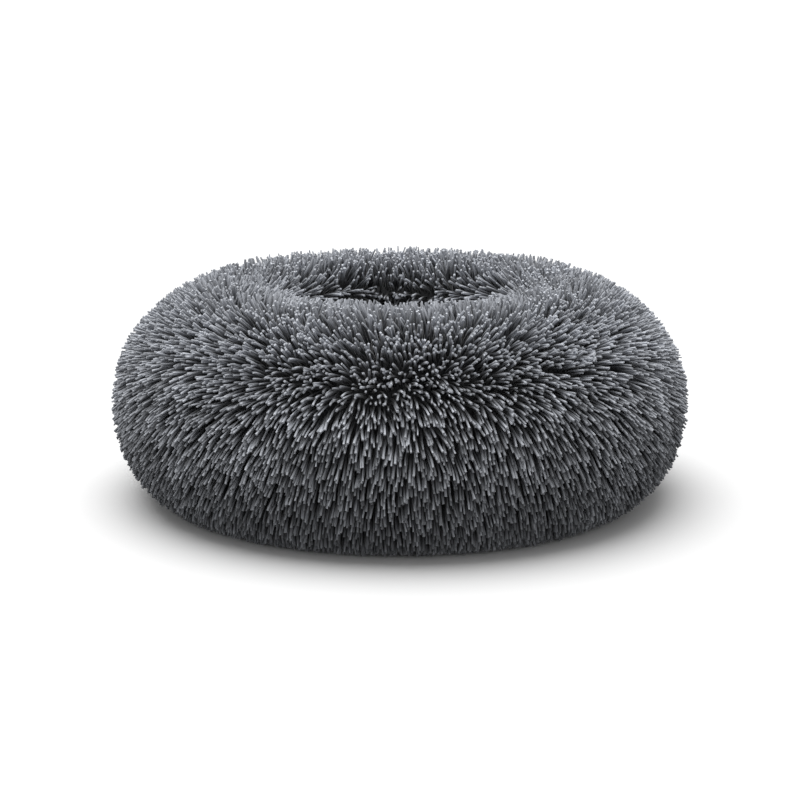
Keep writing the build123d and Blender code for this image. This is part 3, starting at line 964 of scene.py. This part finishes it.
def liner_material():
    """White non-woven cloth, embossed all over with small bonded dots."""
    made, tree, shader = material("liner_cloth", Roughness=0.82, Sheen_Weight=0.1)
    place = place_of(tree)
    bond = tree.add(
        "ShaderNodeTexVoronoi", {"Vector": place, "Scale": 420.0, "Randomness": 0.35}
    ).outputs[0]
    fluff = blotches(tree, place, 1500.0, 4.0)
    mottle = blotches(tree, place, 60.0, 3.0)
    press = ramp(tree, bond, (0.18, 0.0), (0.32, 1.0))
    colour = ramp(tree, shared(tree, mottle, 0.5, fluff, 0.5),
                  (0.3, (0.68, 0.68, 0.67)), (0.7, (0.82, 0.82, 0.81)))
    sunk = tree.math("MULTIPLY", tree.math("SUBTRACT", 1.0, press), 0.35)
    colour = blend_colours(tree, sunk, colour, (0.52, 0.52, 0.52, 1))
    tree.feed(shader.inputs["Base Color"], colour)
    bumped(tree, shader, tree.math("ADD", press, tree.math("MULTIPLY", fluff, 0.5)), 0.25 * MM)
    return made


def fibre_material():
    """White polyester fibre, matted and uneven."""
    made, tree, shader = material("fibre_stuffing", Roughness=0.95, Sheen_Weight=0.4)
    place = place_of(tree)
    tangle = tree.add("ShaderNodeTexNoise", {"Vector": place, "Scale": 60.0}).outputs["Color"]
    bent = tree.vector("ADD", place, tree.vector("SCALE", tangle, 0.05))
    strand = blotches(tree, bent, 700.0, 5.0)
    clump = blotches(tree, place, 45.0, 3.0)
    colour = ramp(tree, shared(tree, clump, 0.5, strand, 0.5),
                  (0.3, (0.62, 0.62, 0.6)), (0.65, (0.86, 0.86, 0.85)))
    tree.feed(shader.inputs["Base Color"], colour)
    bumped(tree, shader, tree.math("ADD", strand, clump), 0.8 * MM)
    return made


def thread_material(name, low, high):
    """Twisted sewing thread."""
    made, tree, shader = material(name, Roughness=0.55, Sheen_Weight=0.3)
    place = place_of(tree)
    split = tree.add("ShaderNodeSeparateXYZ", {0: place})
    twist = wave(tree, tree.math("ADD", tree.math("ADD", split.outputs["X"], split.outputs["Y"]),
                                 split.outputs["Z"]), 0.35 * MM)
    mottle = blotches(tree, place, 400.0)
    colour = ramp(tree, tree.math("MULTIPLY", twist, tree.math("ADD", 0.5, mottle)), (0.1, low), (0.9, high))
    tree.feed(shader.inputs["Base Color"], colour)
    bumped(tree, shader, twist, 0.05 * MM)
    return made


# ---- pieces ---------------------------------------------------------------------------------
def on_bed(obj, finish, *nodes):
    """The piece rides on the bed and stands for nodes; its finish is not used."""
    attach(obj, "bed")
    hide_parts(*nodes)
    return obj


def clad(obj, finish):
    obj.data.materials.clear()
    obj.data.materials.append(finish)
    return obj


def mark_pile(obj, grows):
    """Stores where pile grows: a share from 0 to 1 at each point."""
    held = obj.data.attributes.new("pile", "FLOAT", "POINT")
    held.data.foreach_set("value", grows.astype(float))


def trimmed(obj, keeps):
    """Cuts away the faces whose middle the test refuses."""
    work = bmesh.new()
    work.from_mesh(obj.data)
    gone = [face for face in work.faces if not keeps(face.calc_center_median())]
    bmesh.ops.delete(work, geom=gone, context="FACES")
    work.to_mesh(obj.data)
    work.free()


def walled(obj, thickness, offset=-1.0):
    wall = obj.modifiers.new("cloth", "SOLIDIFY")
    wall.thickness = thickness
    wall.offset = offset
    wall.use_rim = True
    applied(obj)
    return obj


def shrunk_copy(name, obj, inset, lumps):
    """A copy of a closed form, drawn in all over, and further where lumps says so."""
    made = new_object(name, obj.data.copy())
    mesh = made.data
    spots = coordinates(mesh)
    normals = np.zeros(len(mesh.vertices) * 3)
    mesh.vertices.foreach_get("normal", normals)
    depth = np.array([inset + lumps(Vector(spot)) for spot in spots])
    moved = spots - normals.reshape(-1, 3) * depth[:, None]
    mesh.vertices.foreach_set("co", moved.ravel())
    mesh.update()
    return made


def creases(spot):
    """Shallow creases of a thin bag: up to 1.2 mm deep."""
    fold = noise.noise(spot * 45 + Vector((3, 7, 1)))
    return 1.2 * MM * (1 - min(1.0, abs(fold) * 5))


def lumpy(spot):
    """Hollows between clumps of fibre: up to 3 mm deep."""
    return 3 * MM * min(1.0, abs(noise.noise(spot * 28)) * 1.8)


def grow_pile(name, form, pile, plush, replaced, sectors, **sizes):
    for sector in range(sectors):
        label = f"{name}_{sector + 1:02d}" if sectors > 1 else name
        values = {"Sectors": sectors, "Sector": sector, "Seed": SEED, "Material": plush}
        values.update({key.replace("_", " "): value for key, value in sizes.items()})
        on_bed(grown(label, form, pile, values), "plush", replaced)


def make_ring(trees, finishes):
    """The bolster: its plush skin and pile, the bag inside it, and the fibre in the bag."""
    low, over = LINER_LOW.z - 0.3 * MM, PAD_LOW.z - 0.3 * MM
    form = turned("bolster_form", ring_outline(PILE, low, over))
    settle_faces(form)

    def sewn(spots):
        radius = np.hypot(spots[:, 0], spots[:, 1])
        return (spots[:, 2] < over + 2.5 * MM) & (radius < FOOT_RADIUS) | (
            (radius < CROWN_RADIUS) & (spots[:, 2] < NEST_LOW.z))

    stuffed(form, 8 * MM, 4.0, 5 * MM, sewn)

    liner = clad(shrunk_copy("ring_liner_bag", form, 1.2 * MM, creases), finishes["liner"])
    on_bed(liner, "liner_cloth", "ring_liner")
    filling = clad(shrunk_copy("ring_filling_fibre", form, 3.2 * MM, lumpy), finishes["fibre"])
    on_bed(filling, "fibre", "ring_filling")
    curls = grown("ring_filling_curls", filling, trees["fibre"],
                  {"Spacing": 11 * MM, "Curl": 6 * MM, "Seed": SEED, "Material": finishes["fibre"]})
    on_bed(curls, "fibre", "ring_filling")

    def of_cover(middle):
        radius = math.hypot(middle.x, middle.y)
        if radius < CROWN_RADIUS:
            return middle.z > NEST_LOW.z - 2 * MM
        return middle.z > EQUATOR or (middle.z > low + 1.2 * MM and radius > FOOT_RADIUS - 6 * MM)

    trimmed(form, of_cover)
    spots = coordinates(form.data)
    mark_pile(form, spots[:, 2] > low + 2 * MM)
    grow_pile(
        "bolster_pile", form, trees["pile"], finishes["plush"], "bolster_plush", 12,
        Spacing=PILE_SPACING, Length=28 * MM, Width=1.05 * MM,
        Droop=0.8, Comb=0.5, Loose=0.16, Clump=0.2, Clump_spacing=8 * MM, Floor=4 * MM,
    )
    form.data.attributes.remove(form.data.attributes["pile"])
    form.name = "bolster_backing"
    walled(clad(form, finishes["backing"]), 0.8 * MM)
    on_bed(form, "plush", "bolster_plush")


def cushion_outline(reach, low, high, crown):
    """Half section of a round flat cushion: flat below, rounded at its edge, crowned above."""
    middle, half = (low + high) / 2, (high - low) / 2
    points = [(reach * share, low) for share in (0.0, 0.25, 0.5, 0.75)]
    points += ellipse((reach - half, middle), (half, half), -90, 90, 9)
    points += [((reach - half) * share, high + crown * (1 - share**2)) for share in (0.75, 0.5, 0.25, 0.0)]
    return points


def make_nest(trees, finishes):
    """The nest: its plush panel and pile, the pad's bag below it, and the fibre in the bag."""
    pad_reach = wall_radius(PAD_HIGH.z, PILE) - 2 * MM
    form = turned("pad_form", cushion_outline(pad_reach, PAD_LOW.z + 1 * MM, PAD_HIGH.z - 5 * MM, 3 * MM))
    settle_faces(form)
    stuffed(form, 4.5 * MM, 4.0, 1.5 * MM, lambda spots: spots[:, 2] < PAD_LOW.z + 3 * MM)
    liner = clad(shrunk_copy("pad_liner_bag", form, 0.2 * MM, creases), finishes["liner"])
    on_bed(liner, "liner_cloth", "pad_liner")
    filling = clad(shrunk_copy("pad_filling_fibre", form, 2.2 * MM, lumpy), finishes["fibre"])
    on_bed(filling, "fibre", "pad_filling")
    curls = grown("pad_filling_curls", filling, trees["fibre"],
                  {"Spacing": 11 * MM, "Curl": 6 * MM, "Seed": SEED + 1, "Material": finishes["fibre"]})
    on_bed(curls, "fibre", "pad_filling")
    bpy.data.objects.remove(form)

    reach = wall_radius(NEST_LOW.z, PILE) - 2.5 * MM
    panel = turned("nest_backing", cushion_outline(reach, NEST_LOW.z, NEST_LOW.z + 4.5 * MM, 3 * MM))
    settle_faces(panel)
    stuffed(panel, 3 * MM, 3.0, 2 * MM, lambda spots: spots[:, 2] < NEST_LOW.z + 1 * MM)
    spots = coordinates(panel.data)
    radius = np.hypot(spots[:, 0], spots[:, 1])
    mark_pile(panel, (spots[:, 2] > NEST_LOW.z + 1.4 * MM) & (radius < reach - 1 * MM))
    grow_pile(
        "nest_pile", panel, trees["pile"], finishes["plush"], "nest_plush", 2,
        Spacing=PILE_SPACING, Length=20 * MM, Width=1.05 * MM,
        Droop=0.0, Comb=0.9, Loose=0.2, Clump=0.3, Clump_spacing=8 * MM,
        Floor=NEST_LOW.z + 8 * MM,
    )
    panel.data.attributes.remove(panel.data.attributes["pile"])
    on_bed(clad(panel, finishes["backing"]), "plush", "nest_plush")


def eased(value):
    held = np.clip(value, 0, 1)
    return held * held * (3 - 2 * held)


CLOTH = 0.5 * MM  # thickness of the base cloth
SLOT_HALF = 5 * MM
SLOT_END = 129 * MM
FOLD = 11 * MM  # how far the cloth is turned back along the zip
ZIP_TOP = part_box("zip_tape_front")[0].z  # where the tapes lie on the turned-back edge


def cloth_height(radius):
    """Height of the middle of the base cloth: lifted in the middle, turned up into its seam."""
    lifted = ZIP_TOP - 1.0 * MM - 1.3 * MM
    slope = 1 - eased((radius - DISH_RADIUS + 6 * MM) / (SLOPE + 6 * MM))
    edge = eased((radius - BASE_RADIUS + 9 * MM) / (9 * MM))
    return 1.3 * MM + lifted * slope + 3.5 * MM * edge**1.5


def make_base_panel(name, node, side, finish):
    """Half of the base: a sheet turned back along the zip, sewn all round, a little slack."""
    across, deep = 121, 46
    x = BASE_RADIUS * np.sin(np.linspace(-0.985, 0.985, across) * math.pi / 2)
    edge = SLOT_HALF * eased((SLOT_END + 2 * MM - abs(x)) / (3 * MM))
    reach = np.sqrt(BASE_RADIUS**2 - x**2)
    fold = np.minimum(FOLD, 0.35 * (reach - edge))
    rows = [(edge + fold * share, 0.6 * MM) for share in (1.0, 0.68, 0.36, 0.06)]
    rows += [(edge - 0.2 * MM, 0.3 * MM)]
    rows += [(edge + (reach - edge) * share, 0.0) for share in np.linspace(0.004, 1, deep) ** 1.15]
    y = np.array([row[0] for row in rows])
    lift = np.array([row[1] for row in rows])[:, None]
    x = np.broadcast_to(x, y.shape)
    z = cloth_height(np.hypot(x, y)) + lift
    spots = np.stack([x, y * side, z], 2).reshape(-1, 3)
    faces = []
    for j in range(len(rows) - 1):
        for i in range(across - 1):
            a = j * across + i
            faces.append((a, a + 1, a + across + 1, a + across))
    mesh = bpy.data.meshes.new(name)
    mesh.from_pydata(spots.tolist(), [], faces)
    panel = new_object(name, mesh)
    radius = np.hypot(spots[:, 0], spots[:, 1])
    beside = abs(spots[:, 1]) - np.broadcast_to(edge, y.shape).ravel()
    free = eased((beside - 12 * MM) / (10 * MM)) * eased((BASE_RADIUS - 6 * MM - radius) / (8 * MM))
    flat = 1 - 0.7 * eased((radius - DISH_RADIUS) / SLOPE)
    slackened(panel, free, free * flat)
    smooth = panel.modifiers.new("finer", "SUBSURF")
    smooth.levels = smooth.render_levels = 1
    applied(panel)
    settle_faces(panel)
    walled(clad(panel, finish), CLOTH, 0.0)
    settle_faces(panel)
    on_bed(panel, "base_cloth", node)
    return panel


def slackened(obj, free, share, cap=1.6 * MM, frames=14):
    """Lets a sewn sheet that is a little too big for its seams find its own wrinkles."""
    before = coordinates(obj.data)
    ripple = np.array([noise.noise(Vector(spot) * 60) for spot in before]) * 0.3 * MM
    started = before + np.stack([0 * ripple, 0 * ripple, ripple * free], 1)
    obj.data.vertices.foreach_set("co", started.ravel())
    pins = obj.vertex_groups.new(name="sewn")
    pins.add([int(i) for i in np.nonzero(free < 0.02)[0]], 1.0, "REPLACE")
    cloth = obj.modifiers.new("cloth", "CLOTH")
    cloth.settings.quality = 5
    cloth.settings.mass = 0.2
    cloth.settings.tension_stiffness = 20
    cloth.settings.compression_stiffness = 20
    cloth.settings.shear_stiffness = 8
    cloth.settings.bending_stiffness = 0.3
    cloth.settings.shrink_min = -0.035
    cloth.settings.effector_weights.gravity = 0
    cloth.settings.vertex_group_mass = pins.name
    cloth.point_cache.frame_start = 1
    cloth.point_cache.frame_end = frames
    for step in range(1, frames + 1):
        bpy.context.scene.frame_set(step)
    applied(obj)
    obj.vertex_groups.clear()
    bpy.context.scene.frame_set(1)
    moved = coordinates(obj.data) - before
    length = np.linalg.norm(moved, axis=1, keepdims=True)
    moved *= np.minimum(1, cap / np.maximum(length, 1e-9)) * share[:, None]
    obj.data.vertices.foreach_set("co", (before + moved).ravel())


def sew(name, paths, stitches, finish, slot_name, nodes, pitch, length, thread, arch):
    """One piece of stitching along several paths."""
    runs = []
    for line in paths:
        runs.append(grown(name, line, stitches, {"Pitch": pitch, "Length": length,
                                                 "Thread": thread, "Arch": arch,
                                                 "Material": finish}))
        bpy.data.objects.remove(line)
    work = bmesh.new()
    for run in runs:
        work.from_mesh(run.data)
    mesh = bpy.data.meshes.new(name)
    work.to_mesh(mesh)
    work.free()
    for run in runs:
        bpy.data.objects.remove(run)
    made = clad(new_object(name, mesh), finish)
    for face in mesh.polygons:
        face.use_smooth = True
    return on_bed(made, slot_name, *nodes)


def make_base(trees, finishes):
    make_base_panel("base_cloth_front", "base_panel_front", -1, finishes["base"])
    make_base_panel("base_cloth_rear", "base_panel_rear", 1, finishes["base"])
    under = float(cloth_height(np.array(0.0))) - CLOTH / 2
    topstitch = []
    for side in (-1, 1):
        for offset in (1.8 * MM, FOLD - 1.8 * MM):
            y = side * (SLOT_HALF + offset)
            topstitch.append(straight_path("row", (-SLOT_END, y, under), (SLOT_END, y, under)))
    for x in (-SLOT_END - 2.5 * MM, SLOT_END + 2.5 * MM):
        y = SLOT_HALF + FOLD - 1.8 * MM
        topstitch.append(straight_path("row", (x, -y, under), (x, y, under), (0, 1, 0)))
    sew("base_topstitching", topstitch, trees["stitch"], finishes["thread"], "base_cloth",
        ("base_panel_front", "base_panel_rear"), 3.2 * MM, 2.7 * MM, 0.24 * MM, 0.35 * MM)
    seam = BASE_RADIUS - 11 * MM
    edge = [round_path("row", seam, float(cloth_height(np.array(seam))) - CLOTH / 2, (0, 0, -1))]
    sew("base_edge_stitching", edge, trees["stitch"], finishes["thread"], "base_cloth",
        ("base_panel_front", "base_panel_rear"), 3.6 * MM, 3.0 * MM, 0.26 * MM, 0.35 * MM)
    empty = new_object("nothing", bpy.data.meshes.new("nothing"))
    dots = grown(
        "grip_dots_moulded", empty, trees["dots"],
        {"Count": 48, "Outer ring": BASE_RADIUS - 9 * MM, "Ring pitch": 15 * MM,
         "Radius": 3 * MM, "Height": 0.8 * MM, "Material": finishes["rubber"]},
    )
    bpy.data.objects.remove(empty)
    on_bed(clad(dots, finishes["rubber"]), "grip_rubber", "grip_dots")


def slab(name, low, high, cell, edge):
    """A flat strip of cloth with rounded edges, cut into cells of a given size."""
    low, high = Vector(low), Vector(high)
    size = high - low
    counts = [max(1, round(size[i] / cell[i])) for i in range(3)]
    work = bmesh.new()
    bmesh.ops.create_cube(work, size=1)
    for vertex in work.verts:
        vertex.co = Vector([low[i] + (vertex.co[i] + 0.5) * size[i] for i in range(3)])
    for axis in range(3):
        for cut in range(1, counts[axis]):
            spot = low.copy()
            spot[axis] = low[axis] + size[axis] * cut / counts[axis]
            normal = Vector((0, 0, 0))
            normal[axis] = 1
            bmesh.ops.bisect_plane(
                work, geom=work.verts[:] + work.edges[:] + work.faces[:],
                plane_co=spot, plane_no=normal,
            )
    mesh = bpy.data.meshes.new(name)
    work.to_mesh(mesh)
    work.free()
    made = new_object(name, mesh)
    round_off = made.modifiers.new("edge", "BEVEL")
    round_off.width = edge
    round_off.segments = 2
    round_off.limit_method = "ANGLE"
    applied(made)
    settle_faces(made)
    return made


def refined(name, node, width, finish, body="bed"):
    """A CAD node's shape with its edges broken and its long facets smoothed."""
    made = new_object(name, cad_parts[node].data.copy())
    work = bmesh.new()
    work.from_mesh(made.data)
    bmesh.ops.remove_doubles(work, verts=work.verts, dist=2e-6)
    bmesh.ops.dissolve_limit(work, angle_limit=math.radians(1.5), verts=work.verts, edges=work.edges)
    bmesh.ops.recalc_face_normals(work, faces=work.faces)
    for face in work.faces:
        face.smooth = True
    work.to_mesh(made.data)
    work.free()
    round_off = made.modifiers.new("edge", "BEVEL")
    round_off.width = width
    round_off.segments = 3
    round_off.limit_method = "ANGLE"
    round_off.angle_limit = math.radians(35)
    round_off.use_clamp_overlap = True
    round_off.harden_normals = True
    applied(made)
    clad(made, finish)
    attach(made, body)
    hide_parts(node)
    return made


def make_zip(trees, finishes):
    """Tapes, coils, stops, slider and pull."""
    for half, side in (("front", -1), ("rear", 1)):
        low, high = (Vector(corner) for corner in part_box(f"zip_tape_{half}"))
        near, far = (high.y, low.y) if side < 0 else (low.y, high.y)
        near = side * 0.5 * MM
        tape = slab(f"zip_tape_{half}_woven", (low.x, min(near, far), low.z),
                    (high.x, max(near, far), high.z), (6 * MM, 3 * MM, 1), 0.15 * MM)
        on_bed(clad(tape, finishes["tape"]), "zip_tape", f"zip_tape_{half}")
        low, high = (Vector(corner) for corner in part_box(f"zip_coil_{half}"))
        wire = 0.34 * MM
        outer = max(abs(low.y), abs(high.y))
        inner = 0.46 * MM
        middle = (outer + inner) / 2
        turns = round((high.x - low.x) / (1.6 * MM))
        height = (low.z + high.z) / 2
        line = straight_path("row", (low.x + wire, side * middle, height),
                             (high.x - wire, side * middle, height))
        coil = grown(
            f"zip_coil_{half}_wound", line, trees["coil"],
            {"Turns": turns, "Width": outer - inner - 2 * wire, "Height": high.z - low.z - 2 * wire,
             "Wire": wire, "Phase": 0.25 if side < 0 else 0.75, "Material": finishes["coil"]},
        )
        bpy.data.objects.remove(line)
        on_bed(clad(coil, finishes["coil"]), "zip_coil", f"zip_coil_{half}")
        row = straight_path("row", (low.x + 0.8 * MM, side * (middle + 0.25 * MM), low.z + 0.06 * MM),
                            (high.x - 0.8 * MM, side * (middle + 0.25 * MM), low.z + 0.06 * MM))
        sew(f"zip_coil_{half}_stitching", [row], trees["stitch"], finishes["thread"], "zip_coil",
            (f"zip_coil_{half}",), 1.6 * MM, 1.5 * MM, 0.12 * MM, 0.1 * MM)
    refined("zip_top_stops_cast", "zip_top_stops", 0.2 * MM, finishes["metal"])
    refined("zip_bottom_stop_cast", "zip_bottom_stop", 0.2 * MM, finishes["metal"])
    refined("zip_slider_cast", "zip_slider", 0.16 * MM, finishes["metal"], "slider")
    refined("zip_pull_cast", "zip_pull", 0.22 * MM, finishes["metal"], "pull")


def make_label(trees, finishes):
    """A blank satin label, folded double, that hangs from the front panel's turned edge."""
    low, high = (Vector(corner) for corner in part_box("care_label"))
    across, deep = 13, 40
    length = high.y - low.y
    profile = []
    for share in np.linspace(0, 1, deep):
        profile.append((high.y - length * share, high.z - 2.2 * MM * share**1.6))
    for turn in np.linspace(0.2, 0.8, 4) * math.pi:
        drop = 0.35 * MM * (1 - math.cos(turn))
        profile.append((low.y - 0.35 * MM * math.sin(turn), profile[deep - 1][1] - drop))
    for share in np.linspace(1, 0, deep):
        sag = 0.7 * MM + 0.8 * MM * math.sin(math.pi * share)
        profile.append((high.y - length * share, high.z - 2.2 * MM * share**1.6 - sag))
    spots, faces = [], []
    for number, (y, z) in enumerate(profile):
        for i in range(across):
            x = low.x + (high.x - low.x) * i / (across - 1)
            curl = noise.noise(Vector((x * 60, y * 50, 1.0 if number < deep else 4.0))) * 0.35 * MM
            spots.append((x, y, z + curl))
    for j in range(len(profile) - 1):
        for i in range(across - 1):
            a = j * across + i
            faces.append((a, a + 1, a + across + 1, a + across))
    mesh = bpy.data.meshes.new("care_label_satin")
    mesh.from_pydata(spots, [], faces)
    label = new_object("care_label_satin", mesh)
    settle_faces(label)
    walled(clad(label, finishes["satin"]), 0.22 * MM, 0.0)
    settle_faces(label)
    on_bed(label, "label_satin", "care_label")
    y = high.y - 1.6 * MM
    row = straight_path("row", (low.x + 1 * MM, y, high.z - 1.6 * MM),
                        (high.x - 1 * MM, y, high.z - 1.6 * MM))
    sew("care_label_stitching", [row], trees["stitch"], finishes["white thread"], "label_satin",
        ("care_label",), 2.2 * MM, 1.8 * MM, 0.17 * MM, 0.3 * MM)


# ---- camera and light -----------------------------------------------------------------------
def set_camera():
    data = bpy.data.cameras.new("camera")
    data.sensor_width = SENSOR_WIDTH
    data.lens = CAMERA_LENS
    camera = new_object("camera", data)
    aim = Vector((0, 0, CAMERA_AIM))
    back = Vector((0, -math.cos(CAMERA_RISE), math.sin(CAMERA_RISE)))
    camera.location = aim + back * CAMERA_DISTANCE
    camera.rotation_euler = (-back).to_track_quat("-Z", "Y").to_euler()
    bpy.context.scene.camera = camera


def set_studio():
    """A pale floor, a soft light from overhead and a sky that darkens below the horizon."""
    floor = new_object("floor", bpy.data.meshes.new("floor"))
    work = bmesh.new()
    bmesh.ops.create_grid(work, x_segments=1, y_segments=1, size=40)
    work.to_mesh(floor.data)
    work.free()
    pale = material("pale_floor", Roughness=0.8, Base_Color=(0.76, 0.76, 0.76, 1))[0]
    floor.data.materials.append(pale)
    floor.visible_diffuse = False  # it throws no light up at the underside
    world = bpy.data.worlds.new("studio")
    world.use_nodes = True
    tree = Tree(world.node_tree)
    way = tree.add("ShaderNodeTexCoord").outputs["Generated"]
    rise = tree.add("ShaderNodeSeparateXYZ", {0: way}).outputs["Z"]
    high = tree.add("ShaderNodeMapRange", {"Value": rise, "From Min": -0.5, "From Max": 0.1}).outputs[0]
    sky = ramp(tree, high, (0.0, 0.05), (1.0, 0.6))
    tree.feed(world.node_tree.nodes["Background"].inputs[0], sky)
    bpy.context.scene.world = world
    light = bpy.data.lights.new("overhead", "SUN")
    light.angle = math.radians(60)
    light.energy = 3.0
    lamp = new_object("overhead", light)
    way = Vector((-0.1, 0.1, 1.0))
    lamp.location = way * 2
    lamp.rotation_euler = (-way).to_track_quat("-Z", "Y").to_euler()
    bpy.context.scene.view_settings.view_transform = "Standard"


set_camera()
set_studio()
FINISHES = {
    "plush": plush_material(), "backing": backing_material(), "base": base_cloth_material(),
    "rubber": rubber_material(), "tape": tape_material(), "coil": nylon_material(),
    "metal": metal_material(), "satin": satin_material(), "liner": liner_material(),
    "fibre": fibre_material(),
    "thread": thread_material("dark_thread", (0.03, 0.031, 0.035), (0.1, 0.102, 0.11)),
    "white thread": thread_material("white_thread", (0.4, 0.4, 0.38), (0.75, 0.75, 0.73)),
}
TREES = {
    "pile": pile_tree(), "stitch": stitch_tree(), "coil": coil_tree(), "dots": dot_tree(),
    "fibre": fibre_tree(),
}
make_ring(TREES, FINISHES)
make_nest(TREES, FINISHES)
make_base(TREES, FINISHES)
make_zip(TREES, FINISHES)
make_label(TREES, FINISHES)
